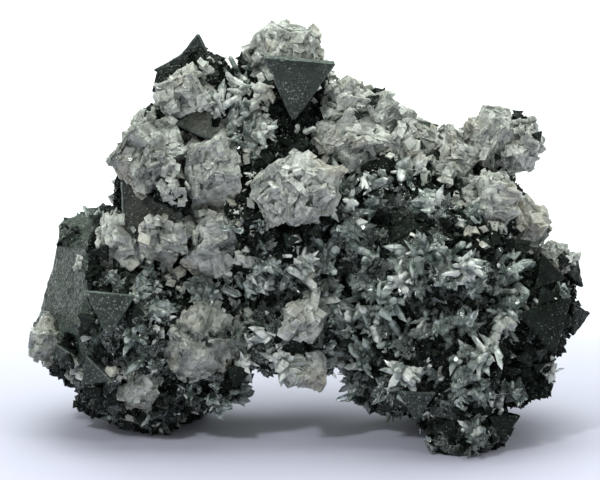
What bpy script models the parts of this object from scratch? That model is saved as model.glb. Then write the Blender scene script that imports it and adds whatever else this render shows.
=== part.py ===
"""Tennantite specimen: dark tetrahedral crystals, cream carbonate rhombs and quartz prisms grown on
a dark massive matrix, which stands on two lobes with an open arch between them.

Forms are laid out as they are seen from the front, from a little above. In that view `across` runs
to the right and `up` runs up, both in millimetres, and `back` is the distance behind the middle of
the specimen. The model itself is in metres, with +Z up and its front towards -Y. Its origin is on
the resting surface, under the middle of the specimen.
"""

import math
import random

import bmesh
import bpy
from mathutils import Matrix, Vector
from mathutils.bvhtree import BVHTree

# Driving dimensions
MM = 0.001
SIGHT_ANGLE = math.radians(15)  # the front view looks down from this far above the horizon
FRONT_FOOT_BACK = -14  # mm; `up` is 0 where the front foot meets the resting surface here
MIDDLE = Vector((1.0, 2.4, 0.0))  # mm; the middle of the specimen's box, in laid-out millimetres
GAP = 0.3 * MM  # between a crystal and its socket or its neighbour
SIGHT_START = 200 * MM  # how far outside the specimen a line of sight starts
BLOCK = 200 * MM  # edge of a block that cuts the body flat
OUTLINE_BACK = 3  # mm; how far back the outline of the front view lies

# The massive body: name, across, up, back, (half width, half depth, half height), in mm
LUMPS = [
    ("left lobe", -26, 22, 4, (13.4, 15.2, 13.0)),
    ("left lobe, lower", -24.4, 13.0, 5, (10.4, 11.7, 8.0)),
    ("left lobe, inner", -15, 19.4, 3, (8.5, 13.0, 10.8)),
    ("left tip", -35.8, 19.6, 2, (5.0, 8.0, 6.5)),
    ("left shoulder", -30.2, 29.6, 5, (7.4, 12.2, 7.5)),
    ("left foot", -22.2, 8.9, 7.0, (6.9, 10.2, 6.1)),
    ("upper left", -20, 41, 4, (7.5, 13.0, 10.5)),
    ("peak", -15.2, 53.0, 5, (5.0, 8.5, 8.0)),
    ("crown", -3, 53, 6, (7.8, 9.0, 8.0)),
    ("below the crown", -8.5, 46.5, 5, (7.0, 9.0, 7.0)),
    ("ridge", 7, 48, 7, (7.5, 9.0, 7.0)),
    ("centre", -3, 37, 4, (14.0, 15.0, 13.0)),
    ("span over the arch", -1, 22, 4, (13.0, 13.0, 8.5)),
    ("upper right", 13, 41, 6, (10.5, 13.0, 9.0)),
    ("right body", 19, 30, 3, (14.0, 16.0, 13.0)),
    ("right lower", 21.5, 17, 0, (12.0, 14.5, 11.5)),
    ("right lower, inner", 14.6, 14.4, 1.0, (7.6, 10.5, 7.2)),
    ("right lower, outer", 31.0, 15.0, 0, (5.7, 9.0, 6.6)),
    ("right side", 33.0, 22.5, 3, (7.5, 12.0, 8.5)),
    ("right shoulder", 26.6, 35.5, 6, (7.0, 10.0, 7.0)),
    ("knob neck", 26, 43, 9, (5.0, 6.0, 5.5)),
    ("knob", 28.4, 47.2, 9, (5.2, 5.5, 3.8)),
    ("right foot", 24.9, 5.2, -5.5, (5.3, 7.5, 5.6)),
    ("right rear foot", 22, 11.5, 8, (7.0, 8.0, 7.2)),
]

# Single crystals of tennantite: name, across, up, edge, facing right, facing up, roll, proud.
# The crystal turns one face to `facing`, in degrees, with a corner of it at `roll` from straight up.
# `proud` is how far that face stands out of the matrix.
TENNANTITE = [
    ("crown", -1.1, 56.9, 12.0, 4, 2, 174, 3.6),
    ("peak", -15.6, 60.6, 7.6, -12, -8, 352, 2.6),
    ("under_peak", -11.3, 56.1, 4.8, -15, 10, 20, 1.8),
    ("brown", -23.4, 36.4, 11.8, -14, 6, 34, 1.8),
    ("lobe_upper", -28.3, 22.7, 8.4, -12, 10, 178, 2.2),
    ("lobe_lower", -30.6, 13.4, 5.8, -25, -12, 15, 1.8),
    ("lobe_small", -35.0, 15.6, 4.4, -35, -5, 40, 1.6),
    ("arch", -10.0, 13.4, 4.8, 10, -20, 170, 1.8),
    ("shaded", -15.4, 49.4, 7.0, -5, 42, 95, 1.4),
    ("right_upper", 31.3, 31.2, 5.0, 15, 20, 50, 1.8),
    ("right_middle", 35.4, 27.6, 6.0, 30, 10, 10, 2.0),
    ("right_tip", 38.6, 27.2, 4.8, 60, 15, 80, 3.0),
    ("right_rim", 39.0, 21.5, 5.8, 50, 0, 150, 3.0),
    ("right_large", 35.6, 20.6, 9.6, 18, 8, 70, 2.4),
    ("front", 16.7, 9.6, 6.4, 0, -15, 178, 2.2),
    ("lower_right", 31.0, 10.4, 5.2, 40, -10, 120, 1.6),
    ("foot", 29.4, 6.0, 5.6, 15, -15, 60, 2.0),
    ("recess", 14.5, 34.6, 5.6, 0, 20, 30, 0.8),
    ("centre_low", -1.6, 16.8, 6.2, 5, -10, 100, 1.6),
    ("saddle", 18.2, 48.6, 3.6, 10, 30, 45, 2.4),
]

# Second crystals that have grown together with the one of this name: how far to its right, above
# and in front of it the second lies, in mm, its edge and its roll
TWINS = {
    "peak": ((-3.2, -2.6, 0.6), 5.6, 100),
    "right_large": ((0.9, -0.2, -0.5), 9.0, 60),
}

# Clusters of carbonate rhombs: name, across, up, width, height, rhomb edge, facing right,
# facing up, rhombs, proud, in mm and degrees
CARBONATES = [
    ("crown", -3.0, 63.2, 11.0, 8.0, 5.8, 0, 30, 5, 2.0),
    ("peak", -17.4, 53.6, 9.4, 7.2, 5.6, -15, 20, 4, 2.4),
    ("left_upper", -22.9, 44.8, 11.0, 10.5, 6.6, -22, 15, 4, 2.8),
    ("left_centre", -13.6, 43.4, 12.5, 13.5, 7.8, -5, 12, 5, 5.4),
    ("centre", -1.2, 40.4, 13.0, 11.8, 6.8, 0, 10, 6, 3.6),
    ("upper_centre", 7.2, 47.4, 13.5, 7.5, 5.8, 5, 25, 5, 2.8),
    ("ridge", 6.4, 52.4, 9.0, 6.0, 4.8, 10, 30, 4, 1.8),
    ("ridge_end", 11.6, 51.0, 6.0, 5.0, 4.0, 15, 30, 3, 1.6),
    ("slope", 15.4, 46.8, 8.5, 8.0, 4.8, 15, 30, 4, 1.8),
    ("spur", 22.2, 45.4, 7.0, 8.5, 4.6, 10, 15, 4, 2.2),
    ("knob", 28.2, 48.0, 8.5, 8.5, 5.0, 5, 15, 5, 2.0),
    ("knob_side", 35.0, 44.4, 6.5, 8.0, 4.6, 40, 8, 4, 2.8),
    ("under_knob", 27.8, 38.2, 9.0, 11.0, 5.6, 10, 12, 5, 2.6),
    ("right_shoulder", 33.2, 35.0, 6.5, 6.5, 4.2, 30, 20, 4, 1.9),
    ("right_tip", 39.4, 31.2, 5.5, 4.5, 4.0, 50, 20, 3, 2.4),
    ("left_shoulder", -27.0, 32.4, 10.5, 9.0, 6.0, -20, 15, 4, 2.8),
    ("left_middle", -20.6, 33.2, 9.5, 8.5, 5.8, -8, 12, 4, 2.8),
    ("middle", -13.6, 32.6, 9.0, 12.0, 6.4, 0, 8, 5, 2.8),
    ("lobe", -15.8, 16.6, 11.5, 14.0, 6.6, 5, 0, 6, 2.0),
    ("left_tip", -38.2, 17.4, 5.5, 5.5, 4.4, -45, 0, 3, 1.8),
    ("left_foot", -24.6, 10.2, 7.0, 7.5, 4.2, -5, -15, 4, 1.4),
    ("low", 0.2, 20.6, 6.5, 5.5, 4.0, 0, 5, 4, 2.0),
    ("arch", -0.6, 14.8, 8.0, 5.5, 4.0, 0, -45, 4, 3.4),
]

# Groups of larger quartz prisms: name, across, up, facing right, facing up, prisms, length, width
QUARTZ = [
    ("peak", -9.0, 57.2, 0, 45, 5, 3.6, 1.1),
    ("centre", 3.4, 30.6, 5, 30, 5, 4.6, 1.3),
    ("cross", 2.0, 25.4, -5, 15, 5, 4.8, 1.2),
    ("right", 21.6, 30.0, 10, 10, 5, 3.8, 1.1),
    ("right_long", 30.4, 26.6, 20, -10, 5, 5.4, 1.2),
    ("low_right", 14.6, 17.8, -10, 20, 5, 4.2, 1.1),
    ("left_slope", -8.4, 24.2, 0, 15, 5, 4.4, 1.1),
    ("foot", 25.6, 12.0, 0, 10, 5, 4.0, 1.1),
]

# Crystals on the sides and back, each seated where a level line towards the middle of the specimen
# meets it: kind, name, compass bearing in degrees (0 is the front, 90 the right), height in mm,
# sideways shift in mm, size in mm
AROUND = [
    ("tennantite", "back_left", 165, 38, -8, 7.4),
    ("tennantite", "back_right", 190, 20, 20, 6.6),
    ("tennantite", "back_top", 185, 47, 6, 5.4),
    ("carbonate", "back_centre", 178, 28, -1, 11.0),
    ("carbonate", "back_crown", 175, 52, 4, 9.0),
    ("carbonate", "back_lobe", 195, 18, -22, 9.5),
    ("carbonate", "back_right", 172, 38, 20, 8.5),
    ("quartz", "back", 182, 30, 14, 4.6),
]

MATRIX_VOXEL = 0.8 * MM
MATRIX_KEEP = 0.0290  # share of the remeshed faces that the matrix keeps
SOCKETED_KEEP = 0.72  # share of its faces that it keeps after the sockets are cut
CRYSTAL_KEEP = 0.6  # share of a cluster's faces that are left when its slivers are merged
COARSE_RELIEF = (7.0 * MM, 3.4 * MM)  # size and height of the large knobs
FINE_RELIEF = (2.6 * MM, 1.3 * MM)  # size and height of the small knobs

# The broken face on the left: a point of it as (across, up, back), and where it faces, in degrees
BROKEN_FACE = ((-33.2, 29.2, -4.7), (-66, 14))
ON_BROKEN_FACE = math.cos(math.radians(10))  # least cosine between that way and a face that lies on it

SMALL_TENNANTITE = 66
SMALL_TENNANTITE_EDGE = (2.4, 4.2)  # mm
SMALL_TENNANTITE_LEAN = 0.5  # how far one leans from the surface, as a slope
SMALL_TENNANTITE_LIFT = 0.1  # how far its middle stands out of the surface, as a share of its edge
FLOOR_MARGIN = 4 * MM  # nothing is seated lower than this

EDGE_FLAT = 0.045  # width of the flats along a tetrahedron's edges, as a share of an edge
FACE_ANGLE = math.radians(102)  # between the edges of a carbonate rhomb
CLUSTER_SUNK = 0.3  # how far the middle of a cluster lies inside the matrix, as a share of an edge
PETAL_DROP = 0.22  # how far the outermost rhomb lies behind the middle one, as a share of an edge
PETAL_LEAN = ((14, 26), (22, 44))  # degrees; lean of the middle rhomb, and what the outermost adds
PRISM_LEAN = (8, 48)  # degrees; lean of the middle prism, and what the outermost adds
QUARTZ_TIP = 1.25  # height of a quartz crystal's point, as a share of its radius
GOLDEN_ANGLE = math.radians(137.5)
FLAT_ENOUGH = math.radians(1)  # faces that meet at less than this become one face

COLOURS = {
    # name: (base colour, roughness, metallic)
    "matrix": ((0.050, 0.056, 0.052, 1), 0.55, 0.35),
    "tennantite": ((0.075, 0.080, 0.080, 1), 0.42, 0.60),
    "carbonate": ((0.56, 0.56, 0.51, 1), 0.35, 0.0),
    "quartz": ((0.62, 0.68, 0.66, 1), 0.12, 0.0),
}


def from_front(across, up, back):
    """The point, in metres, seen at (across, up) in the front view and lying `back` behind it."""
    height = (up - (back - FRONT_FOOT_BACK) * math.sin(SIGHT_ANGLE)) / math.cos(SIGHT_ANGLE)
    return (Vector((across, back, height)) - MIDDLE) * MM


def direction(right, up):
    """The unit vector that leaves the front of the specimen turned this far right and up, in degrees."""
    right, up = math.radians(right), math.radians(up)
    return Vector((math.sin(right) * math.cos(up), -math.cos(right) * math.cos(up), math.sin(up)))


def pose(point, outward, roll=0.0):
    """The matrix that puts a form's local +Z along `outward` at a point, turned by roll degrees."""
    upwards = Vector((0, 1, 0)) if abs(outward.z) > 0.999 else Vector((0, 0, 1))
    top = (upwards - outward * outward.dot(upwards)).normalized()
    side = top.cross(outward)
    turned = Matrix((side, top, outward)).transposed()
    return Matrix.Translation(point) @ turned.to_4x4() @ Matrix.Rotation(math.radians(roll), 4, "Z")


def clear_scene():
    for obj in list(bpy.data.objects):
        bpy.data.objects.remove(obj)


def collection(name):
    made = bpy.data.collections.new(name)
    bpy.context.scene.collection.children.link(made)
    return made


def material(name):
    colour, roughness, metallic = COLOURS[name]
    made = bpy.data.materials.new(name)
    made.use_nodes = True
    shader = made.node_tree.nodes["Principled BSDF"]
    shader.inputs["Base Color"].default_value = colour
    shader.inputs["Roughness"].default_value = roughness
    shader.inputs["Metallic"].default_value = metallic
    return made


def object_of(name, bm, target):
    """A new object from a bmesh, which is freed."""
    mesh = bpy.data.meshes.new(name)
    bm.to_mesh(mesh)
    bm.free()
    obj = bpy.data.objects.new(name, mesh)
    target.objects.link(obj)
    return obj


def freeze(obj):
    """Applies the object's modifiers and keeps the largest of its separate bodies."""
    bpy.context.view_layer.update()
    mesh = bpy.data.meshes.new_from_object(obj.evaluated_get(bpy.context.evaluated_depsgraph_get()))
    obj.modifiers.clear()
    obj.data = mesh
    bm = bmesh.new()
    bm.from_mesh(mesh)
    bodies = bodies_of(bm)
    largest = max(bodies, key=volume_of)
    spare = [face for body in bodies if body is not largest for face in body]
    bmesh.ops.delete(bm, geom=spare, context="FACES")
    bmesh.ops.delete(bm, geom=[v for v in bm.verts if not v.link_faces], context="VERTS")
    bmesh.ops.dissolve_limit(bm, angle_limit=FLAT_ENOUGH, verts=bm.verts, edges=bm.edges)
    bm.to_mesh(mesh)
    bm.free()


def bodies_of(bm):
    """The faces of a bmesh in lists, one for each body that stands alone."""
    waiting, bodies = set(bm.faces), []
    while waiting:
        edge_of_growth, body = [waiting.pop()], []
        while edge_of_growth:
            face = edge_of_growth.pop()
            body.append(face)
            for edge in face.edges:
                for other in edge.link_faces:
                    if other in waiting:
                        waiting.remove(other)
                        edge_of_growth.append(other)
        bodies.append(body)
    return bodies


def volume_of(faces):
    """The volume inside these faces, which is negative where they face inwards."""
    total = 0.0
    for face in faces:
        first, *rest = [loop.vert.co for loop in face.loops]
        total += sum(first.dot(a.cross(b)) for a, b in zip(rest, rest[1:])) / 6
    return total


def combine(obj, other, operation):
    """Joins `other` to the object, or cuts it out of the object."""
    modifier = obj.modifiers.new(operation.title(), "BOOLEAN")
    modifier.operation = operation
    modifier.object = other
    modifier.use_self = True


def tetrahedron(edge, flat=0.0, grow=0.0):
    """A tetrahedron with one face turned to +Z and flats of this share of an edge along its edges."""
    in_radius = edge / (2 * math.sqrt(6))
    edge *= 1 + grow / in_radius
    height = edge * math.sqrt(2 / 3)
    upside_down = Matrix.Translation((0, 0, -height / 4)) @ Matrix.Rotation(math.pi, 4, "Y")
    bm = bmesh.new()
    bmesh.ops.create_cone(
        bm,
        cap_ends=True,
        segments=3,
        radius1=edge / math.sqrt(3),
        radius2=0,
        depth=height,
        matrix=upside_down,
    )
    if flat:
        sharp = list(bm.edges) + list(bm.verts)
        bmesh.ops.bevel(bm, geom=sharp, offset=flat * edge, segments=1, affect="EDGES")
    return bm


def rhomb_edges():
    """The three unit edges of a rhomb, whose +Z face is level."""
    cosine = math.cos(FACE_ANGLE)
    across = (cosine - cosine * cosine) / math.sin(FACE_ANGLE)
    first = Vector((1, 0, 0))
    second = Vector((cosine, math.sin(FACE_ANGLE), 0))
    third = Vector((cosine, across, math.sqrt(1 - cosine**2 - across**2)))
    return first, second, third


def rhomb(sizes, grow=0.0):
    """A rhomb with its broad face turned to +Z. `sizes` are the lengths of its three edges."""
    edges = rhomb_edges()
    added = 2 * grow / edges[2].z
    columns = [edge * (size + added) for edge, size in zip(edges, sizes)]
    bm = bmesh.new()
    bmesh.ops.create_cube(bm, size=1, matrix=Matrix(columns).transposed().to_4x4())
    return bm


def prism(length, width, grow=0.0):
    """A six-sided quartz crystal that stands on the local XY plane and ends in a point at +Z."""
    radius = width / 2 + grow / math.cos(math.radians(30))
    bm = bmesh.new()
    bmesh.ops.create_cone(
        bm,
        cap_ends=True,
        segments=6,
        radius1=radius,
        radius2=radius,
        depth=length + 2 * grow,
        matrix=Matrix.Translation((0, 0, length / 2)),
    )
    top = max(bm.faces, key=lambda face: face.calc_center_median().z)
    tip = bmesh.ops.poke(bm, faces=[top])["verts"]
    bmesh.ops.translate(bm, verts=tip, vec=(0, 0, radius * QUARTZ_TIP))
    return bm


def cluster_rhombs(chance, width, height, edge, count):
    """Where the rhombs of a cluster stand: (matrix, sizes) for each, in the cluster's own frame.

    They spread from the middle like petals, each leaning outwards more the further out it is.
    """
    placed = []
    for i in range(count):
        reach = math.sqrt(i / count)
        bearing = i * GOLDEN_ANGLE + chance.uniform(-0.3, 0.3)
        x = reach * math.cos(bearing)
        y = reach * math.sin(bearing)
        spot = Vector(((width - edge) / 2 * x, (height - edge) / 2 * y, -PETAL_DROP * edge * reach))
        middle_lean, added_lean = (chance.uniform(*limits) for limits in PETAL_LEAN)
        lean = math.radians(middle_lean + added_lean * reach)
        axis = Vector((-y, x, 0)) if reach else Vector((1, 0.4, 0))
        length = edge * chance.uniform(0.85, 1.12)
        sizes = (length, length * chance.uniform(0.75, 0.98), edge * chance.uniform(0.6, 0.85))
        turned = Matrix.Rotation(lean, 4, axis) @ Matrix.Rotation(chance.uniform(0, math.tau), 4, "Z")
        placed.append((Matrix.Translation(spot) @ turned, sizes))
    return placed


def tuft_prisms(chance, count, length, width):
    """Where the prisms of a quartz group stand: (matrix, (length, width)) for each, in its frame."""
    placed = []
    for i in range(count):
        lean = math.radians(PRISM_LEAN[0] + PRISM_LEAN[1] * math.sqrt(i / count))
        bearing = i * GOLDEN_ANGLE + chance.uniform(-0.35, 0.35)
        turned = Matrix.Rotation(bearing, 4, "Z") @ Matrix.Rotation(lean, 4, "Y")
        size = chance.uniform(0.72, 1.1)
        spread = Matrix.Translation((0.5 * width * math.cos(bearing), 0.5 * width * math.sin(bearing), 0))
        placed.append((spread @ turned, (length * size, width * chance.uniform(0.75, 1.1))))
    return placed


class Crystal:
    """A crystal or a grown-together group: its node's name, its place and the shapes it is made of."""

    def __init__(self, name, mineral, place, shapes):
        self.name, self.mineral, self.place, self.shapes = name, mineral, place, shapes

    def added(self, grow):
        """A bmesh for each shape of the crystal, all grown outwards by `grow`."""
        for shape, matrix, sizes in self.shapes:
            bm = shape(*sizes, grow=grow)
            bm.transform(self.place @ matrix)
            yield bm

    def solid(self, neighbours, target, helpers):
        """The crystal as one object, with its shapes joined and its neighbours' sockets cut out."""
        first, *rest = self.added(0.0)
        obj = object_of(self.name, first, target)
        if rest:
            combine(obj, object_of("rest of " + self.name, joined(rest), helpers), "UNION")
        if neighbours:
            room = object_of("room beside " + self.name, joined(copies_of(neighbours)), helpers)
            combine(obj, room, "DIFFERENCE")
        if rest:
            drop_slivers(obj, CRYSTAL_KEEP)
        freeze(obj)
        return obj

    def socket(self, helpers):
        """The room that the crystal takes, with the gap around it, as a convex cutter."""
        return object_of("socket of " + self.name, hull_of(joined(self.added(GAP))), helpers)


def joined(parts):
    """One bmesh that holds all of these, which are freed."""
    whole = bmesh.new()
    for bm in parts:
        mesh = bpy.data.meshes.new("part")
        bm.to_mesh(mesh)
        bm.free()
        whole.from_mesh(mesh)
        bpy.data.meshes.remove(mesh)
    return whole


def drop_slivers(obj, keep):
    """Merges the slivers that a cut leaves, down to this share of the faces."""
    obj.modifiers.new("Slivers", "DECIMATE").ratio = keep


def hull_of(bm):
    """The convex hull of a bmesh, which is freed."""
    hull = bmesh.new()
    for vertex in bm.verts:
        hull.verts.new(vertex.co)
    bm.free()
    bmesh.ops.convex_hull(hull, input=hull.verts)
    bmesh.ops.delete(hull, geom=[v for v in hull.verts if not v.link_faces], context="VERTS")
    bmesh.ops.recalc_face_normals(hull, faces=hull.faces)
    return hull


def copies_of(objects):
    """A bmesh copy of each of these objects."""
    for obj in objects:
        bm = bmesh.new()
        bm.from_mesh(obj.data)
        yield bm


def relief_texture(name, kind, size):
    texture = bpy.data.textures.new(name, kind)
    texture.noise_scale = size
    return texture


def add_relief(obj, name, kind, relief):
    size, height = relief
    modifier = obj.modifiers.new(name, "DISPLACE")
    modifier.texture = relief_texture(name, kind, size)
    modifier.strength = height
    modifier.mid_level = 0.5
    modifier.texture_coords = "LOCAL"


def slab(name, point, outward, helpers):
    """A block whose near face passes through the point and that lies beyond it along `outward`."""
    bm = bmesh.new()
    place = pose(point, outward)
    bmesh.ops.create_cube(bm, size=BLOCK, matrix=place @ Matrix.Translation((0, 0, BLOCK / 2)))
    return object_of(name, bm, helpers)


def matrix_body(target, helpers):
    """The massive body: lumps run together, knobbly all over and broken flat on the left."""
    bm = bmesh.new()
    for _, across, up, back, half in LUMPS:
        stretch = Matrix.Diagonal((*(h * MM for h in half), 1))
        place = Matrix.Translation(from_front(across, up, back)) @ stretch
        bmesh.ops.create_icosphere(bm, subdivisions=4, radius=1, matrix=place)
    body = object_of("matrix", bm, target)
    remesh = body.modifiers.new("Run together", "REMESH")
    remesh.mode = "VOXEL"
    remesh.voxel_size = MATRIX_VOXEL
    add_relief(body, "Large knobs", "VORONOI", COARSE_RELIEF)
    add_relief(body, "Small knobs", "VORONOI", FINE_RELIEF)
    thin = body.modifiers.new("Facets", "DECIMATE")
    thin.ratio = MATRIX_KEEP
    freeze(body)
    spot, facing = BROKEN_FACE
    combine(body, slab("broken away", from_front(*spot), direction(*facing), helpers), "DIFFERENCE")
    freeze(body)
    return body


def surface_of(body):
    bm = bmesh.new()
    bm.from_mesh(body.data)
    tree = BVHTree.FromBMesh(bm)
    bm.free()
    return tree


def seat_from_front(surface, across, up):
    """The point of the surface that is seen at (across, up) in the front view.

    Just outside the outline, it is the nearest point of the surface.
    """
    sight = Vector((0, math.cos(SIGHT_ANGLE), -math.sin(SIGHT_ANGLE)))
    start = from_front(across, up, 0) - sight * SIGHT_START
    seen = surface.ray_cast(start, sight)[0]
    return seen or surface.find_nearest(from_front(across, up, OUTLINE_BACK))[0]


def tennantite(name, point, outward, edge, roll, proud):
    """One tetrahedron whose outward face stands `proud` of the point. Sizes in mm."""
    in_radius = edge / (2 * math.sqrt(6))
    centre = point + outward * (proud - in_radius) * MM
    shapes = [(tetrahedron, Matrix.Identity(4), (edge * MM, EDGE_FLAT))]
    if name in TWINS:
        offset, second_edge, second_roll = TWINS[name]
        turned = Matrix.Rotation(math.radians(second_roll), 4, "Z")
        beside = Matrix.Translation(Vector(offset) * MM) @ turned
        shapes.append((tetrahedron, beside, (second_edge * MM, EDGE_FLAT)))
    return Crystal("tennantite_" + name, "tennantite", pose(centre, outward, roll), shapes)


def carbonate(name, point, outward, width, height, edge, count, proud):
    """One cluster of rhombs. Sizes in mm."""
    chance = random.Random("carbonate " + name)
    rhombs = cluster_rhombs(chance, width * MM, height * MM, edge * MM, count)
    centre = point + outward * (proud - CLUSTER_SUNK * edge) * MM
    shapes = [(rhomb, matrix, (sizes,)) for matrix, sizes in rhombs]
    return Crystal("carbonate_" + name, "carbonate", pose(centre, outward), shapes)


def quartz(name, point, outward, count, length, width):
    """One group of prisms that spread from a point a little inside the matrix. Sizes in mm."""
    chance = random.Random("quartz " + name)
    prisms = tuft_prisms(chance, count, length * MM, width * MM)
    root = point - outward * width * MM
    shapes = [(prism, matrix, sizes) for matrix, sizes in prisms]
    return Crystal("quartz_" + name, "quartz", pose(root, outward), shapes)


def front_crystals(surface):
    for name, across, up, edge, right, high, roll, proud in TENNANTITE:
        point = seat_from_front(surface, across, up)
        yield tennantite(name, point, direction(right, high), edge, roll, proud)
    for name, across, up, width, height, edge, right, high, count, proud in CARBONATES:
        point = seat_from_front(surface, across, up)
        yield carbonate(name, point, direction(right, high), width, height, edge, count, proud)
    for name, across, up, right, high, count, length, width in QUARTZ:
        point = seat_from_front(surface, across, up)
        yield quartz(name, point, direction(right, high), count, length, width)


def crystals_around(surface):
    for kind, name, bearing, height, shift, size in AROUND:
        outward = direction(bearing, 0)
        sideways = Vector((-outward.y, outward.x, 0))
        start = outward * SIGHT_START + sideways * shift * MM + Vector((0, 0, height * MM))
        point = surface.ray_cast(start, -outward)[0]
        if kind == "tennantite":
            yield tennantite(name, point, direction(bearing, 12), size, bearing, 0.28 * size)
        elif kind == "carbonate":
            yield carbonate(name, point, direction(bearing, 8), size, size * 0.85, size * 0.6, 4, 2.0)
        else:
            yield quartz(name, point, direction(bearing, 12), 5, size, 1.2)


def random_seats(chance, body, count):
    """Points spread over the body's surface, each with the way it faces. The broken face stays bare."""
    bare = direction(*BROKEN_FACE[1])
    faces = [face for face in body.data.polygons if face.center.z > FLOOR_MARGIN]
    faces = [face for face in faces if face.normal.dot(bare) < ON_BROKEN_FACE]
    areas = [face.area for face in faces]
    return [(face.center.copy(), face.normal.copy()) for face in chance.choices(faces, areas, k=count)]


def small_crystals(body):
    """The small tetrahedra that are fused to the matrix, as bmeshes."""
    chance = random.Random("small crystals")
    for point, normal in random_seats(chance, body, SMALL_TENNANTITE):
        edge = chance.uniform(*SMALL_TENNANTITE_EDGE) * MM
        lean = (normal + SMALL_TENNANTITE_LEAN * random_vector(chance)).normalized()
        bm = tetrahedron(edge)
        lifted = point + normal * SMALL_TENNANTITE_LIFT * edge
        bm.transform(pose(lifted, lean, chance.uniform(0, 120)))
        yield bm


def random_vector(chance):
    return Vector([chance.uniform(-1, 1) for _ in range(3)])


def near(a, b):
    """Whether the boxes of two objects meet."""
    boxes = []
    for obj in (a, b):
        corners = [v.co for v in obj.data.vertices]
        boxes.append([(min(c[i] for c in corners), max(c[i] for c in corners)) for i in range(3)])
    return all(p[0] < q[1] and q[0] < p[1] for p, q in zip(*boxes))


def main():
    clear_scene()
    parts = collection("tennantite specimen")
    helpers = collection("cutters")
    materials = {name: material(name) for name in COLOURS}
    body = matrix_body(parts, helpers)
    surface = surface_of(body)
    crystals = [*front_crystals(surface), *crystals_around(surface)]
    combine(body, object_of("small crystals", joined(small_crystals(body)), helpers), "UNION")
    freeze(body)
    sockets = []
    for crystal in crystals:
        socket = crystal.socket(helpers)
        neighbours = [other for other in sockets if near(socket, other)]
        obj = crystal.solid(neighbours, parts, helpers)
        obj.data.materials.append(materials[crystal.mineral])
        sockets.append(socket)
    combine(body, object_of("sockets", joined(copies_of(sockets)), helpers), "DIFFERENCE")
    drop_slivers(body, SOCKETED_KEEP)
    combine(body, slab("below the feet", Vector(), Vector((0, 0, -1)), helpers), "DIFFERENCE")
    freeze(body)
    body.data.materials.append(materials["matrix"])
    for helper in helpers.objects:
        helper.hide_render = True
        helper.display_type = "WIRE"


main()
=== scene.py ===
"""Looks of the tennantite specimen: dark matrix and tetrahedra, cream carbonate and quartz prisms."""

import math

import bmesh
import bpy
import numpy as np
from mathutils import Matrix, Vector, noise
from mathutils.bvhtree import BVHTree
from mathutils.kdtree import KDTree


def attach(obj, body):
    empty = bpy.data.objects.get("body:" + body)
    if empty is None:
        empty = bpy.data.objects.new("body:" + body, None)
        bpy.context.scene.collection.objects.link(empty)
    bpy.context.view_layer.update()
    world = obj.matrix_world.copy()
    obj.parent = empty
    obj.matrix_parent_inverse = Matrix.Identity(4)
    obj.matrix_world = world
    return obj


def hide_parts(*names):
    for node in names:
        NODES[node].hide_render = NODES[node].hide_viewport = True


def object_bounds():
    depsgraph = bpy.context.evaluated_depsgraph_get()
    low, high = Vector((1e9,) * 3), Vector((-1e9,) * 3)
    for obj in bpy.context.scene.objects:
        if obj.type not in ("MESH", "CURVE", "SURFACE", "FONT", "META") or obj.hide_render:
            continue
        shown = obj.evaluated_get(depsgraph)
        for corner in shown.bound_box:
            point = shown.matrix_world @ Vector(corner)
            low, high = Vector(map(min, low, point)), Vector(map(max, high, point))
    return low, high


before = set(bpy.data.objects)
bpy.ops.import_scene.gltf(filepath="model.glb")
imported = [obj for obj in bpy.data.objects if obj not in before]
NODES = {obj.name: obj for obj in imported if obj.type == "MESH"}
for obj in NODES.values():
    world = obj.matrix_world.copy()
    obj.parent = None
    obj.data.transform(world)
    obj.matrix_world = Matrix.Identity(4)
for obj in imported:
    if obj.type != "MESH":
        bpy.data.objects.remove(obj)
CAD_BOX = [list(corner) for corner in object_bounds()]

MM = 0.001
SEED = 7  # of the random draws
SIGHT_ANGLE = math.radians(15)  # the camera looks down by this much
SIGHT = Vector((0, math.cos(SIGHT_ANGLE), -math.sin(SIGHT_ANGLE)))
OUTSIDE = 0.2  # m; further than the specimen reaches from its middle
PIXEL = 0.15  # mm across one pixel of the front view, at the specimen
PIXEL_MIDDLE = (303.5, 457)  # the pixel where across and up are 0
FRONT_FOOT_BACK = -14  # mm; `up` is 0 on the floor this far behind the middle
MIDDLE = (1.0, 2.4)  # mm; the middle of the box in laid-out millimetres


# Places in the front view

def from_front(u, v, back):
    """The point, in metres, seen at pixel (u, v) of the front view and `back` mm behind the middle."""
    across, up = (u - PIXEL_MIDDLE[0]) * PIXEL, (PIXEL_MIDDLE[1] - v) * PIXEL
    height = (up - (back - FRONT_FOOT_BACK) * math.sin(SIGHT_ANGLE)) / math.cos(SIGHT_ANGLE)
    return Vector((across - MIDDLE[0], back - MIDDLE[1], height)) * MM


def pixels_of(points):
    """The pixels (u, v) where points, in metres, are seen from the front."""
    x, y, z = (points / MM).T
    up = z * math.cos(SIGHT_ANGLE) + (y + MIDDLE[1] - FRONT_FOOT_BACK) * math.sin(SIGHT_ANGLE)
    u = (x + MIDDLE[0]) / PIXEL + PIXEL_MIDDLE[0]
    return u, PIXEL_MIDDLE[1] - up / PIXEL


def seen_from_front(tree, u, v):
    """(point, normal) of the surface seen at a pixel, or (None, None)."""
    return tree.ray_cast(from_front(u, v, 0) - SIGHT * OUTSIDE, SIGHT)[:2]


# Meshes

def vectors_of(items, name):
    """An array of one vector for each item, such as the normals of faces."""
    vectors = np.empty(len(items) * 3)
    items.foreach_get(name, vectors)
    return vectors.reshape(-1, 3)


def points_of(mesh):
    return vectors_of(mesh.vertices, "co")


def normals_of(mesh):
    return vectors_of(mesh.vertex_normals, "vector")


def triangles_of(mesh):
    """The numbers of the three vertices of each triangle."""
    mesh.calc_loop_triangles()
    triangles = np.empty(len(mesh.loop_triangles) * 3, np.int32)
    mesh.loop_triangles.foreach_get("vertices", triangles)
    return triangles.reshape(-1, 3)


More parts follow.
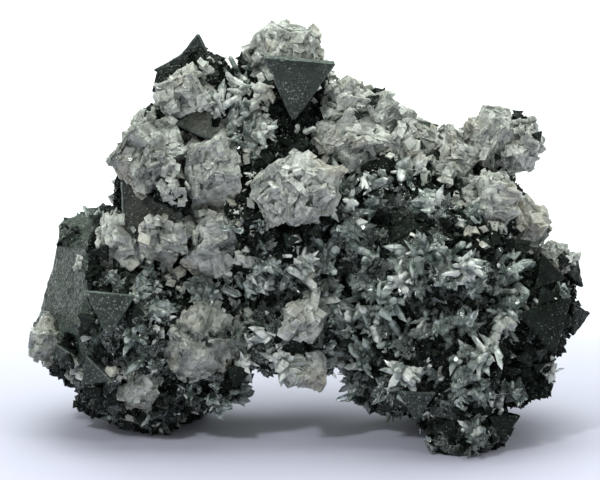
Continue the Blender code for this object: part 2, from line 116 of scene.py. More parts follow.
def areas_and_normals(corners):
    across = np.cross(corners[:, 1] - corners[:, 0], corners[:, 2] - corners[:, 0])
    return np.linalg.norm(across, axis=1) / 2, unit(across)


def spots_in(corners, rng, count, weights):
    """Random places in triangles, and the number of the triangle that each lies in."""
    chosen = rng.choice(len(corners), count, p=weights / weights.sum())
    a, b = np.sqrt(rng.uniform(size=count))[:, None], rng.uniform(size=count)[:, None]
    first, second, third = corners[chosen].swapaxes(0, 1)
    return first * (1 - a) + (second * (1 - b) + third * b) * a, chosen


def bmesh_of(mesh):
    """A bmesh in which equal points are one."""
    bm = bmesh.new()
    bm.from_mesh(mesh)
    bmesh.ops.remove_doubles(bm, verts=bm.verts, dist=1e-6)
    return bm


def mesh_of(bm, name):
    """A mesh with the bmesh's shape. The bmesh is freed."""
    mesh = bpy.data.meshes.new(name)
    bm.to_mesh(mesh)
    bm.free()
    return mesh


def add_object(name, data):
    obj = bpy.data.objects.new(name, data)
    bpy.context.scene.collection.objects.link(obj)
    return obj


def piece_from(name, mesh, material):
    """An object with flat-shaded faces and one material."""
    obj = add_object(name, mesh)
    mesh.materials.clear()
    mesh.materials.append(material)
    mesh.polygons.foreach_set("use_smooth", [False] * len(mesh.polygons))
    return obj


def tree_of(objects):
    """A tree for ray casts and nearest points over several objects."""
    whole = bmesh.new()
    for obj in objects:
        whole.from_mesh(obj.data)
    tree = BVHTree.FromBMesh(whole)
    whole.free()
    return tree


def remeshed(source, voxel):
    """A copy of the mesh with even faces of about the size `voxel`, in metres."""
    twin = add_object("twin", source.copy())
    modifier = twin.modifiers.new("Even faces", "REMESH")
    modifier.mode = "VOXEL"
    modifier.voxel_size = voxel
    mesh = bpy.data.meshes.new_from_object(twin.evaluated_get(bpy.context.evaluated_depsgraph_get()))
    bpy.data.meshes.remove(twin.data)
    return mesh


def unit(vectors):
    return vectors / np.maximum(np.linalg.norm(vectors, axis=-1, keepdims=True), 1e-12)


def waves(points, size, shift=(0, 0, 0)):
    """Noise from -1 to 1 at each point, with features of this size in mm."""
    return np.array([noise.noise(Vector(point) / (size * MM) + Vector(shift)) for point in points])


def clumps(points, size, seed):
    """Noise from 0 to 1 at each point, with features of this size in mm."""
    return waves(points, size, (seed, -seed, seed * 0.5)) * 0.5 + 0.5


def facets(rng, points, normals, count, uneven, limit):
    """How far each point moves along its normal to lie on the nearest of `count` small flat faces.

    They are set at random points. `uneven` is how much they lean, and `limit` the largest move.
    """
    pick = rng.choice(len(points), count, replace=False)
    tilts = unit(normals[pick] + rng.normal(size=(count, 3)) * uneven)
    seeds = points[pick] + normals[pick] * rng.uniform(-0.3, 0.3, (count, 1)) * MM
    tree = KDTree(count)
    for i, seed in enumerate(seeds):
        tree.insert(seed, i)
    tree.balance()
    nearest = np.array([tree.find(point)[1] for point in points])
    faces = tilts[nearest]
    lean = np.maximum((normals * faces).sum(1), 0.35)
    move = ((seeds[nearest] - points) * faces).sum(1) / lean
    return np.clip(move, -limit, limit)


# Small shapes, which are copied many times

SIDES = 6  # of a quartz prism


def prism_shape():
    """A quartz crystal of radius 1 and length 1. Its last point is the tip, level with the upper ring."""
    angles = np.arange(SIDES) * math.tau / SIDES
    ring = np.stack([np.cos(angles), np.sin(angles), np.zeros(SIDES)], 1)
    points = np.concatenate([ring, ring + [0, 0, 1], [[0, 0, 1]]])
    pairs = [(i, (i + 1) % SIDES) for i in range(SIDES)]
    faces = [(i, j, SIDES + j, SIDES + i) for i, j in pairs]
    faces += [(SIDES + i, SIDES + j, 2 * SIDES) for i, j in pairs]
    return points, [*faces, tuple(range(SIDES))[::-1]]


RHOMB_ANGLE = math.radians(102)


def rhomb_shape():
    """A carbonate rhomb with edges 1 long, centred, with a broad face towards +Z."""
    cosine, sine = math.cos(RHOMB_ANGLE), math.sin(RHOMB_ANGLE)
    across = (cosine - cosine**2) / sine
    height = math.sqrt(1 - cosine**2 - across**2)
    edges = np.array([(1, 0, 0), (cosine, sine, 0), (cosine, across, height)])
    corners = np.array([(x, y, z) for z in (-0.5, 0.5) for y in (-0.5, 0.5) for x in (-0.5, 0.5)])
    faces = [(0, 2, 3, 1), (4, 5, 7, 6), (0, 1, 5, 4), (2, 6, 7, 3), (0, 4, 6, 2), (1, 3, 7, 5)]
    return corners @ edges, faces


def tetrahedron_shape():
    points = np.array([(1, 1, 1), (-1, -1, 1), (-1, 1, -1), (1, -1, -1)]) / math.sqrt(3)
    return points, [(0, 2, 1), (0, 1, 3), (0, 3, 2), (1, 2, 3)]


def rotations(rng, outward):
    """Rotation matrices whose third column is `outward`, turned about it at random."""
    helper = np.where(np.abs(outward[:, 2:3]) > 0.9, [[0, 1, 0]], [[0, 0, 1]])
    side = unit(np.cross(helper, outward))
    up = np.cross(outward, side)
    twist = rng.uniform(0, math.tau, len(outward))
    cosine, sine = np.cos(twist)[:, None], np.sin(twist)[:, None]
    return np.stack([side * cosine + up * sine, up * cosine - side * sine, outward], 2)


# The room for small crystals: the CAD box and a little around it
ROOM = (
    np.array(CAD_BOX[0]) - [MM, 0.5 * MM, -0.03 * MM],
    np.array(CAD_BOX[1]) + [MM, 0.5 * MM, 0.8 * MM],
)


def in_room(moved, faces):
    """(points, faces) of all copies that lie wholly in the room."""
    moved = moved[((moved > ROOM[0]) & (moved < ROOM[1])).all((1, 2))]
    shift = np.arange(len(moved)) * moved.shape[1]
    return moved.reshape(-1, 3), [tuple(i + int(s) for i in face) for s in shift for face in faces]


def placed(points, places, turns, sizes):
    """The points of many copies of a shape. `sizes` scales each along its own three axes."""
    return np.einsum("nij,nkj->nki", turns, points[None] * sizes[:, None, :]) + places[:, None, :]


def copies(shape, places, turns, sizes):
    """(points, faces) of many copies of a shape."""
    points, faces = shape
    return in_room(placed(points, places, turns, sizes), faces)


def quartz_copies(rng, places, outward, lengths, radii):
    """(points, faces) of quartz crystals that stand at these places: tapered, with a blunt, uneven tip."""
    points, faces = prism_shape()
    sizes = np.stack([radii, radii * rng.uniform(0.7, 1, len(radii)), lengths], 1)
    moved = placed(points, places, rotations(rng, outward), sizes)
    middle = moved[:, :SIDES].mean(1, keepdims=True)
    taper = rng.uniform(0.55, 1.0, (len(places), 1, 1))
    upwards = lengths[:, None, None] * outward[:, None]
    upper = moved[:, SIDES:-1] - upwards
    moved[:, SIDES:-1] = middle + (upper - middle) * taper + upwards
    moved[:, -1] += outward * (radii * rng.uniform(0.9, 2.0, len(radii)))[:, None]
    moved[:, -1] += unit(rng.normal(size=outward.shape)) * radii[:, None] * 0.35
    return in_room(moved, faces)


def rhomb_sizes(rng, edge, wide, thick):
    """A rhomb's edge, and its width and thickness, which are random shares of it."""
    count = len(edge)
    return np.stack([edge, edge * rng.uniform(*wide, count), edge * rng.uniform(*thick, count)], 1)


def mesh_from(name, parts):
    """One mesh from a list of (points, faces)."""
    points, faces, shift = [], [], 0
    for part_points, part_faces in parts:
        points.append(part_points)
        faces += [tuple(i + shift for i in face) for face in part_faces]
        shift += len(part_points)
    mesh = bpy.data.meshes.new(name)
    mesh.from_pydata(np.concatenate(points).tolist(), [], faces)
    return mesh


# Materials

class Nodes:
    """One material, and short ways to add shader nodes to it. Sizes are in mm."""

    def __init__(self, name):
        self.material = bpy.data.materials.new(name)
        self.material.use_nodes = True
        self.tree = self.material.node_tree
        self.coordinates = self.node("TexCoord", {}).outputs["Object"]

    def finish(self, values):
        """Fill the shader's inputs and give the material."""
        self.fill(self.tree.nodes["Principled BSDF"], values)
        return self.material

    def fill(self, node, values):
        """Set or link a node's inputs, which are given by name or number."""
        for name, value in values.items():
            if isinstance(value, bpy.types.NodeSocket):
                self.tree.links.new(value, node.inputs[name])
            else:
                node.inputs[name].default_value = value

    def node(self, kind, values, **settings):
        node = self.tree.nodes.new("ShaderNode" + kind)
        for name, setting in settings.items():
            setattr(node, name, setting)
        self.fill(node, values)
        return node

    def texture(self, kind, size, values):
        return self.node(kind, {"Vector": self.coordinates, "Scale": 1 / (size * MM), **values})

    def noise(self, size, detail=3.0, roughness=0.55):
        return self.texture("TexNoise", size, {"Detail": detail, "Roughness": roughness}).outputs["Fac"]

    def cells(self, size, output="Distance"):
        return self.texture("TexVoronoi", size, {}).outputs[output]

    def steps(self, value, low, high, to_low=0.0, to_high=1.0):
        """The value, smoothly mapped from the range `low` to `high`."""
        values = {"Value": value, "From Min": low, "From Max": high, "To Min": to_low, "To Max": to_high}
        return self.node("MapRange", values, interpolation_type="SMOOTHSTEP").outputs["Result"]

    def mix(self, factor, first, second):
        return self.node("Mix", {0: factor, 6: first, 7: second}, data_type="RGBA").outputs[2]

    def math(self, operation, first, second):
        return self.node("Math", {0: first, 1: second}, operation=operation).outputs[0]

    def vector(self, operation, first, second=(0, 0, 0)):
        return self.node("VectorMath", {0: first, 1: second}, operation=operation).outputs[0]

    def facets(self, size, lean):
        """The surface normal, leaning a different way in each small cell, as if full of tiny crystals."""
        own = self.node("NewGeometry", {}).outputs["Normal"]
        tilt = self.vector("SUBTRACT", self.cells(size, "Color"), (0.5, 0.5, 0.5))
        tilt = self.vector("MULTIPLY", tilt, (lean, lean, lean))
        return self.vector("NORMALIZE", self.vector("ADD", own, tilt))

    def bump(self, height, distance, normal):
        """A bump on top of another normal."""
        values = {"Distance": distance * MM, "Height": height, "Normal": normal}
        return self.node("Bump", values).outputs["Normal"]

    def edges(self, low, high):
        """0 in hollows, 1 on flat faces, edges and corners."""
        return self.steps(self.node("NewGeometry", {}).outputs["Pointiness"], low, high)


# The colour of the pale specks: partly dust, partly painted glints
PALE_DUST_AND_GLINT = (0.25, 0.25, 0.25, 1)


def dark_material(name, base, worn, roughness, facet, gloss=0.5, dust_and_glint_level=0.64, dust_and_glint_colour=PALE_DUST_AND_GLINT):
    """A dark sulphide: mottled, finely pitted, with pale specks, fewer of them at a high level; the specks
    are partly dust and partly painted glints.

    `facet` is (size in mm, lean) of the tiny faces that glint.
    """
    nodes = Nodes(name)
    mottle = nodes.math("MULTIPLY", nodes.steps(nodes.noise(2.6, 4), 0.3, 0.66), nodes.noise(0.4, 3, 0.7))
    colour = nodes.mix(nodes.math("MULTIPLY", mottle, 1.9), base, worn)
    # Pale specks: partly dust, partly painted glints.
    dust_and_glint = nodes.steps(nodes.noise(0.3, 2, 0.7), dust_and_glint_level, dust_and_glint_level + 0.04)
    dust_and_glint = nodes.math("MULTIPLY", dust_and_glint, nodes.steps(nodes.noise(3.4, 2), 0.34, 0.5))
    fine = nodes.math("ADD", nodes.noise(0.26, 4, 0.65), nodes.cells(0.5))
    return nodes.finish({
        "Base Color": nodes.mix(dust_and_glint, colour, dust_and_glint_colour),
        "Roughness": nodes.steps(nodes.noise(0.8, 3), 0.3, 0.7, roughness - 0.14, roughness + 0.16),
        "IOR": 1.5,
        "Specular IOR Level": gloss,
        "Specular Tint": (0.84, 1, 0.88, 1),
        "Normal": nodes.bump(fine, 0.11, nodes.facets(*facet)),
    })


def carbonate_material(name, pale, shade, warm):
    """Translucent carbonate: cloudy cream and grey, with fine cleavage steps that glint, and painted shade in
    its hollows.
    """
    nodes = Nodes(name)
    colour = nodes.mix(nodes.steps(nodes.noise(3.0, 4), 0.36, 0.64), pale, shade)
    colour = nodes.mix(nodes.steps(nodes.noise(6.5, 2), 0.5, 0.7), colour, warm)
    grime = nodes.math("MULTIPLY", nodes.steps(nodes.noise(0.7, 3, 0.7), 0.52, 0.68), 0.55)
    colour = nodes.mix(grime, colour, (0.07, 0.078, 0.07, 1))
    cleavage = nodes.math("ADD", nodes.cells(0.5), nodes.noise(0.22, 3, 0.6))
    return nodes.finish({
        # Hollows, where the pointiness is low, are painted near black: painted shade in the crevices between
        # the rhombs.
        "Base Color": nodes.mix(nodes.edges(0.44, 0.505), (0.045, 0.051, 0.045, 1), colour),
        "Roughness": nodes.steps(nodes.noise(1.1, 3), 0.35, 0.65, 0.06, 0.34),
        "Subsurface Weight": 0.55,
        "Subsurface Radius": (1.0, 1.0, 0.9),
        "Subsurface Scale": 0.8 * MM,
        "IOR": 1.65,
        "Normal": nodes.bump(cleavage, 0.05, nodes.facets(0.6, 0.55)),
    })


def quartz_material(name, colour, cloudy, transmission, roughness):
    """Quartz, from milky to clear, with cloudy patches inside."""
    nodes = Nodes(name)
    return nodes.finish({
        "Base Color": nodes.mix(nodes.steps(nodes.noise(2.0, 3), 0.42, 0.58), colour, cloudy),
        "Roughness": roughness,
        "IOR": 1.54,
        "Transmission Weight": transmission,
        "Normal": nodes.bump(nodes.noise(0.3, 3), 0.02, nodes.facets(0.5, 0.4)),
    })


MATRIX = dark_material("matrix", (0.001, 0.002, 0.001, 1), (0.009, 0.012, 0.01, 1), 0.3, (0.42, 0.9), 0.07)
# On the broken face the pale specks are bright and few: mostly painted glints.
BROKEN = dark_material(
    "matrix_broken",
    (0.006, 0.011, 0.007, 1), (0.031, 0.043, 0.033, 1), 0.26, (0.44, 0.8), 0.42, 0.61, (0.36, 0.36, 0.36, 1),
)
CRUST = dark_material(
    "matrix_crust",
    (0.008, 0.01, 0.008, 1), (0.05, 0.06, 0.054, 1), 0.34, (0.42, 0.9), 0.14, 0.5, (0.17, 0.182, 0.174, 1),
)
TENNANTITE = dark_material(
    "tennantite",
    (0.009, 0.012, 0.01, 1), (0.026, 0.031, 0.028, 1), 0.36, (0.4, 0.42), 0.42, 0.605, (0.26, 0.26, 0.26, 1),
)
DARKEST = dark_material(
    "tennantite_dark", (0.002, 0.003, 0.002, 1), (0.01, 0.014, 0.011, 1), 0.32, (0.4, 0.5), 0.14
)
BROWN = dark_material(
    "tennantite_brown",
    (0.009, 0.008, 0.006, 1), (0.036, 0.033, 0.026, 1), 0.42, (0.4, 0.5), 0.36, 0.6, (0.16, 0.16, 0.16, 1),
)
# A lighter copy of the tennantite for the narrow flats along the edges: a painted highlight, as if light from
# above fell on them.
PAINTED_LIT_FLATS = dark_material("tennantite_painted_lit_flats", (0.03, 0.038, 0.035, 1), (0.07, 0.084, 0.08, 1), 0.34, (0.5, 0.3))
CARBONATE = carbonate_material(
    "carbonate", (0.5, 0.512, 0.465, 1), (0.24, 0.252, 0.232, 1), (0.37, 0.35, 0.295, 1)
)
# A darker copy of the carbonate for the clusters at the left: partly painted shade, partly a dirtier tone.
SHADED_GREY_CARBONATE = carbonate_material(
    "carbonate_shaded_grey", (0.4, 0.412, 0.37, 1), (0.15, 0.16, 0.144, 1), (0.29, 0.275, 0.23, 1)
)
QUARTZ = {
    "white": quartz_material("quartz_white", (0.82, 0.84, 0.8, 1), (0.3, 0.34, 0.315, 1), 0.25, 0.08),
    "milky": quartz_material("quartz_milky", (0.6, 0.66, 0.62, 1), (0.112, 0.148, 0.132, 1), 0.5, 0.06),
    "clear": quartz_material("quartz_clear", (0.88, 0.95, 0.91, 1), (0.62, 0.7, 0.66, 1), 0.92, 0.04),
}

BROWN_CRYSTALS = ("tennantite_brown", "tennantite_shaded")
# How the names of the darkest crystals start
DARKEST_CRYSTALS = tuple("tennantite_" + name for name in ("right", "arch", "recess", "foot", "centre"))
LEFT_CLUSTERS = ["carbonate_lobe", "carbonate_left_foot", "carbonate_left_tip", "carbonate_left_middle"]
# Clusters that get the darker copy of the carbonate: partly painted shade
SHADED_GREY_CLUSTERS = LEFT_CLUSTERS + ["carbonate_left_upper"]
SOFT_CLUSTERS = LEFT_CLUSTERS + ["carbonate_left_shoulder", "carbonate_middle", "carbonate_low"]

# How fine the meshes are
TENNANTITE_EDGE = 0.35 * MM  # the longest edge in a dark crystal
CLUSTER_VOXEL = 0.33 * MM
MATRIX_VOXEL = 0.52 * MM


# The dark crystals

def tennantite_piece(node, rng):
    """A tetrahedron with shallow growth steps, pits and slightly uneven edges."""
    bm = bmesh_of(NODES[node].data)
    for _ in range(5 if max(NODES[node].dimensions) > 6 * MM else 4):
        long = [edge for edge in bm.edges if edge.calc_length() > TENNANTITE_EDGE]
        if not long:
            break
        bmesh.ops.subdivide_edges(bm, edges=long, cuts=1, use_grid_fill=True)
    bmesh.ops.triangulate(bm, faces=bm.faces)
    mesh = mesh_of(bm, node + "_surface")
    points, normals = points_of(mesh), normals_of(mesh)
    shift = Vector(rng.uniform(-9, 9, 3))
    darkest = node.startswith(DARKEST_CRYSTALS)
    deep = 1.8 if darkest else 1.0
    move = np.empty(len(points))
    for i, point in enumerate(points):
        spot = Vector(point) / MM + shift
        terrace = math.floor(noise.noise(spot * 0.38) * 5) / 5
        pit = max(0, noise.noise(spot * 2.1) - 0.35)
        move[i] = deep * (0.1 * terrace + 0.07 * noise.noise(spot * 1.3) - 0.14 * pit)
    mesh.vertices.foreach_set("co", (points + normals * (move * MM)[:, None]).ravel())
    flats = on_narrow_flats(NODES[node].data, mesh)
    material = BROWN if node in BROWN_CRYSTALS else DARKEST if darkest else TENNANTITE
    piece = piece_from(node + "_surface", mesh, material)
    # The narrow flats get the lighter copy, a painted highlight; the darkest crystals keep their own material
    # there.
    mesh.materials.append(material if darkest else PAINTED_LIT_FLATS)
    mesh.polygons.foreach_set("material_index", flats)
    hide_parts(node)
    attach(piece, "root")
    return piece


def on_narrow_flats(source, mesh):
    """1 for each face of the mesh that lies on one of the narrow flats along the crystal's edges."""
    largest = max(face.area for face in source.polygons)
    broad = np.array([face.normal for face in source.polygons if face.area > 0.15 * largest])
    facing = vectors_of(mesh.polygons, "normal")
    return ((facing @ broad.T).max(1) < 0.93).astype(np.int32)


# The carbonate clusters

# Corners that a cluster lacks: lines between two pixels of the front view. What lies to their left goes.
CORNERS_OFF = {"carbonate_crown": [((292, 20), (329, 60)), ((250, 45), (276, 20))]}


def trimmed(node):
    """A copy of a cluster's mesh, cut along the lines of sight through its CORNERS_OFF."""
    bm = bmesh_of(NODES[node].data)
    for first, last in CORNERS_OFF[node]:
        start = from_front(*first, 0)
        outward = (from_front(*last, 0) - start).cross(SIGHT)
        whole = [*bm.verts, *bm.edges, *bm.faces]
        cut = bmesh.ops.bisect_plane(bm, geom=whole, plane_co=start, plane_no=outward, clear_outer=True)
        rim = [part for part in cut["geom_cut"] if isinstance(part, bmesh.types.BMEdge)]
        bmesh.ops.holes_fill(bm, edges=rim, sides=0)
    bmesh.ops.triangulate(bm, faces=bm.faces)
    return mesh_of(bm, "trimmed")


SHARP = math.radians(40)  # the least turn between two faces at a ridge
RIDGE = 1.2 * MM  # the shortest ridge that gets teeth


def ridge_rhombs(source, rng, spacing):
    """Small rhombs along the sharp ridges of a cluster, `spacing` mm apart, like the teeth of a comb."""
    bm = bmesh_of(source)
    places, facing, along = [], [], []
    for edge in bm.edges:
        length = edge.calc_length()
        if not edge.is_convex or edge.calc_face_angle(0) < SHARP or length < RIDGE:
            continue
        first, last = (vertex.co for vertex in edge.verts)
        side = max(edge.link_faces, key=lambda face: face.calc_area()).normal
        outward = sum((face.normal for face in edge.link_faces), Vector()).normalized()
        count = max(1, int(length / (spacing * MM)))
        for i in range(count):
            spot = first.lerp(last, (i + rng.uniform(0.2, 0.8)) / count)
            places.append(spot - outward * rng.uniform(0.1, 0.4) * MM)
            facing.append(side)
            along.append((last - first).normalized())
    bm.free()
    if not places:
        return []
    places, facing, along = map(np.array, (places, facing, along))
    sizes = rhomb_sizes(rng, rng.uniform(0.5, 1.2, len(places)) * MM, (0.8, 1.2), (0.4, 0.7))
    return [copies(rhomb_shape(), places, aligned(rng, facing, along, 0.14), sizes)]


def aligned(rng, facing, along, amount):
    """Rotation matrices that face nearly along `facing`, with their first axis nearly along `along`."""
    facing = unit(facing + rng.normal(size=facing.shape) * amount)
    along = along + rng.normal(size=along.shape) * amount
    side = unit(along - facing * (along * facing).sum(1)[:, None])
    return np.stack([side, np.cross(facing, side), facing], 2)


def spots_on(source, rng, per_square_mm):
    """Random spots on a mesh: places, the way each faces and the longest edge of its triangle."""
    corners = points_of(source)[triangles_of(source)]
    areas, normals = areas_and_normals(corners)
    sides = np.roll(corners, -1, 1) - corners
    longest = np.linalg.norm(sides, axis=2).argmax(1)
    along = unit(sides[np.arange(len(sides)), longest])
    places, chosen = spots_in(corners, rng, int(areas.sum() / MM**2 * per_square_mm), areas)
    return places, normals[chosen], along[chosen]


def blades(source, rng, per_square_mm):
    """Rhombs of 1.2 to 2.4 mm whose corners and edges stand out of a cluster's faces."""
    places, facing, along = spots_on(source, rng, per_square_mm)
    count = len(places)
    edge = (1.2 + 1.2 * rng.uniform(size=count) ** 1.6) * MM
    sizes = rhomb_sizes(rng, edge, (0.7, 1.0), (0.4, 0.7))
    turns = aligned(rng, facing, along, 0.22)
    sunk = rng.uniform(-0.26, -0.06, count) * edge
    return copies(rhomb_shape(), places + turns[:, :, 2] * sunk[:, None], turns, sizes)


def mosaic(source, rng, least):
    """Patches of low steps: rhombs of 0.4 to 1.9 mm, nearly parallel to the face that they lie on.

    They are rarer where `least` is high.
    """
    places, facing, along = spots_on(source, rng, 1.5)
    kept = waves(places, 3.2) > rng.uniform(least, least + 0.2, len(places))
    places, facing, along = places[kept], facing[kept], along[kept]
    count = len(places)
    edge = (0.4 + 1.5 * rng.uniform(size=count) ** 2) * MM
    thick = rng.uniform(0.3, 0.5, count) * MM
    sizes = np.stack([edge, edge * rng.uniform(0.7, 1.0, count), thick], 1)
    turns = aligned(rng, facing, along, 0.13)
    return copies(rhomb_shape(), places - turns[:, :, 2] * (thick * 0.05)[:, None], turns, sizes)


# Soft and crisp clusters: points to a flat face, how uneven the faces are, how far they move points (mm),
# long and short waves (mm), blades to a square mm, least roughness for low steps, mm from tooth to tooth
SOFT = (100, 0.12, 0.25, 0.72, 0.14, 0.0, 0.32, 1.3)
CRISP = (190, 0.16, 0.45, 0.2, 0.08, 0.05, 0.06, 0.55)


def carbonate_piece(node, rng):
    """A cluster of rhombs: stepped faces, toothed ridges and sugary patches. Some are softly rounded."""
    source = trimmed(node) if node in CORNERS_OFF else NODES[node].data
    share, uneven, limit, long, short, bladed, least, spacing = SOFT if node in SOFT_CLUSTERS else CRISP
    mesh = remeshed(source, CLUSTER_VOXEL)
    points, normals = points_of(mesh), normals_of(mesh)
    wave = long * waves(points, 2.6) + short * waves(points, 0.9)
    move = facets(rng, points, normals, max(24, len(points) // share), uneven, limit * MM) + wave * MM
    base = points + normals * move[:, None]
    base[:, 2] = np.maximum(base[:, 2], 0.05 * MM)
    base_faces = [tuple(face.vertices) for face in mesh.polygons]
    parts = [(base, base_faces), blades(source, rng, bladed), mosaic(source, rng, least)]
    parts += ridge_rhombs(source, rng, spacing)
    material = SHADED_GREY_CARBONATE if node in SHADED_GREY_CLUSTERS else CARBONATE
    piece = piece_from(node + "_surface", mesh_from(node + "_surface", parts), material)
    bpy.data.meshes.remove(mesh)
    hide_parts(node)
    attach(piece, "root")
    return piece


# The matrix

def matrix_piece(rng):
    """The massive body, drusy all over with small flat faces, except where it is broken."""
    mesh = remeshed(NODES["matrix"].data, MATRIX_VOXEL)
    points, normals = points_of(mesh), normals_of(mesh)
    large, fine = waves(points, 2.6), waves(points, 0.7)
    move = facets(rng, points, normals, len(points) // 16, 0.45, 0.7 * MM)
    move = move + (0.35 * large + 0.12 * fine) * MM
    broken = broken_share(points, normals)
    move = move * (1 - broken) + (0.14 * large + 0.1 * fine) * MM * broken
    moved = points + normals * move[:, None]
    floor = points[:, 2] < 0.15 * MM
    moved[:, 2] = np.where(floor, points[:, 2], np.maximum(moved[:, 2], 0.02 * MM))
    mesh.vertices.foreach_set("co", moved.ravel())
    mesh.update()
    mesh.attributes.new("broken", "FLOAT", "POINT").data.foreach_set("value", broken)
    piece = piece_from("matrix_surface", mesh, MATRIX)
    mesh.materials.append(BROKEN)
    mesh.materials.append(CRUST)
    on_face = np.array([min(broken[i] for i in face.vertices) > 0.3 for face in mesh.polygons])
    centres = vectors_of(mesh.polygons, "center")
    crust = (in_zones(*pixels_of(centres), CRUST_ZONES, 1.3) > 0.2) & (clumps(centres, 2.2, 11.0) > 0.44)
    mesh.polygons.foreach_set("material_index", np.where(on_face, 1, crust * 2).astype(np.int32))
    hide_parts("matrix")
    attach(piece, "root")
    return piece


# The plane of the broken face
BROKEN_FACING = unit(np.array([[-0.886, -0.395, 0.242]]))[0]
BROKEN_POINT = np.array([-34.2, -7.1, 27.7]) * MM

# The outline of the broken face in the front view, in pixels
BROKEN_OUTLINE = [
    (72, 198), (90, 204), (98, 214), (90, 234), (84, 262),
    (85, 286), (78, 302), (62, 318), (20, 336), (30, 230),
]


def inside(u, v, outline):
    """Which pixels lie inside a closed outline."""
    within = np.zeros(len(u), bool)
    for (u0, v0), (u1, v1) in zip(outline, outline[1:] + outline[:1]):
        if v0 != v1:
            within ^= ((v0 > v) != (v1 > v)) & (u < u0 + (v - v0) * (u1 - u0) / (v1 - v0))
    return within


def broken_share(points, normals):
    """1 on and beside the flat broken face at the left, 0 elsewhere."""
    flat = (normals * BROKEN_FACING).sum(1)
    off = np.abs(((points - BROKEN_POINT) * BROKEN_FACING).sum(1))
    left = (points[:, 0] < -26 * MM) & (points[:, 2] > 12 * MM)
    share = np.clip((flat - 0.5) / 0.15, 0, 1) * np.clip(3.0 - off / MM, 0, 1) * left
    seen = inside(*pixels_of(points), BROKEN_OUTLINE) & (normals @ np.array(SIGHT) < 0.1)
    return np.where(seen, 1.0, share)


# Where a fine grey crust covers the matrix: pixel, half width and half height in pixels
CRUST_ZONES = [
    (150, 350, 60, 50), (125, 385, 50, 32), (165, 415, 50, 25), (140, 290, 40, 30), (225, 330, 35, 30),
    (290, 330, 60, 45), (385, 400, 55, 26), (470, 425, 40, 30), (380, 240, 60, 45), (450, 290, 50, 40),
]


# Crystals scattered over the matrix

class Surface:
    """The triangles of a mesh, to pick points on."""

    def __init__(self, mesh):
        triangles = triangles_of(mesh)
        self.corners = points_of(mesh)[triangles]
        self.centres = self.corners.mean(1)
        self.areas, self.normals = areas_and_normals(self.corners)
        broken = np.empty(len(mesh.vertices))
        mesh.attributes["broken"].data.foreach_get("value", broken)
        self.broken = broken[triangles].mean(1)
        self.clear = np.ones(len(triangles))  # 0 for triangles that are under a large crystal
        self.u, self.v = pixels_of(self.centres)

    def cover(self, crystals):
        """Mark the triangles that a tree of large crystals covers."""
        for i, point in enumerate(self.centres):
            if crystals.find_nearest(Vector(point), 0.5 * MM)[3] is not None:
                self.clear[i] = 0

    def above(self, height):
        """0 at the floor, rising to 1 at this height in mm."""
        return np.clip(self.centres[:, 2] / (height * MM), 0, 1)

    def pick(self, rng, count, density):
        """`count` points and normals, more of them where `density` is higher."""
        places, chosen = spots_in(self.corners, rng, count, self.areas * density)
        return places, self.normals[chosen]


# Where quartz is thick: pixel, half width and half height in pixels, and how thick
QUARTZ_ZONES = [
    (300, 290, 80, 70, 1.5), (395, 260, 75, 75, 1), (470, 300, 75, 75, 0.8), (400, 370, 75, 50, 0.9),
    (465, 400, 50, 50, 0.7), (300, 350, 60, 30, 1.5), (370, 190, 60, 45, 0.8), (228, 105, 22, 22, 1),
    (255, 140, 32, 34, 1), (130, 345, 60, 45, 0.75), (150, 290, 60, 40, 0.7), (185, 385, 60, 35, 0.6),
    (110, 395, 50, 35, 0.6), (540, 300, 30, 40, 0.3),
]

# Where the druse is dark: pixel, half width and half height in pixels
BARE_ZONES = [
    (402, 222, 24, 13), (443, 192, 24, 10), (290, 238, 48, 9), (345, 295, 8, 24), (498, 246, 26, 12),
    (476, 322, 12, 24), (505, 352, 28, 10), (430, 287, 16, 8), (408, 318, 12, 8), (541, 322, 40, 34),
    (570, 318, 14, 26), (416, 395, 20, 16), (506, 420, 22, 14), (526, 396, 13, 16), (460, 446, 14, 10),
    (506, 372, 30, 12), (328, 332, 12, 12), (296, 347, 22, 9), (442, 425, 12, 12), (545, 268, 30, 14),
    (120, 250, 45, 14), (108, 305, 28, 16), (95, 340, 14, 16), (100, 368, 16, 12), (130, 405, 40, 8),
    (250, 378, 14, 12), (175, 320, 12, 8), (250, 300, 30, 10), (140, 430, 40, 10), (190, 410, 30, 10),
    (460, 400, 22, 8), (436, 350, 20, 10), (465, 240, 16, 22), (285, 150, 14, 10), (262, 398, 14, 26),
    (240, 418, 26, 12),
]


def in_zones(u, v, zones, reach_of_edge):
    """For each pixel, how thick the thickest of the zones is that cover it."""
    share = np.zeros(len(u))
    for centre_u, centre_v, half_u, half_v, *thick in zones:
        reach = ((u - centre_u) / half_u) ** 2 + ((v - centre_v) / half_v) ** 2
        share = np.maximum(share, (thick or [1.0])[0] * np.clip(reach_of_edge - reach, 0, 1))
    return share


def quartz_density(surface):
    u, v, facing = surface.u, surface.v, -(surface.normals @ np.array(SIGHT))
    front = in_zones(u, v, QUARTZ_ZONES, 1.6) * (1 - 0.96 * in_zones(u, v, BARE_ZONES, 1.7))
    front = np.where(facing > -0.2, front, 0)
    behind = np.where((facing > -0.6) | (v < 130), 0.01, 0.22)
    patchy = np.clip((clumps(surface.centres, 2.8, 3.0) - 0.475) * 9, 0.008, 1)
    left_edge = np.clip(surface.centres[:, 0] / (3 * MM) + 11, 0, 1)
    return (front + behind) * patchy * surface.above(3) * surface.clear * (1 - surface.broken) * left_edge


def spread(rng, normals, amount):
    return unit(normals + rng.normal(size=normals.shape) * amount)


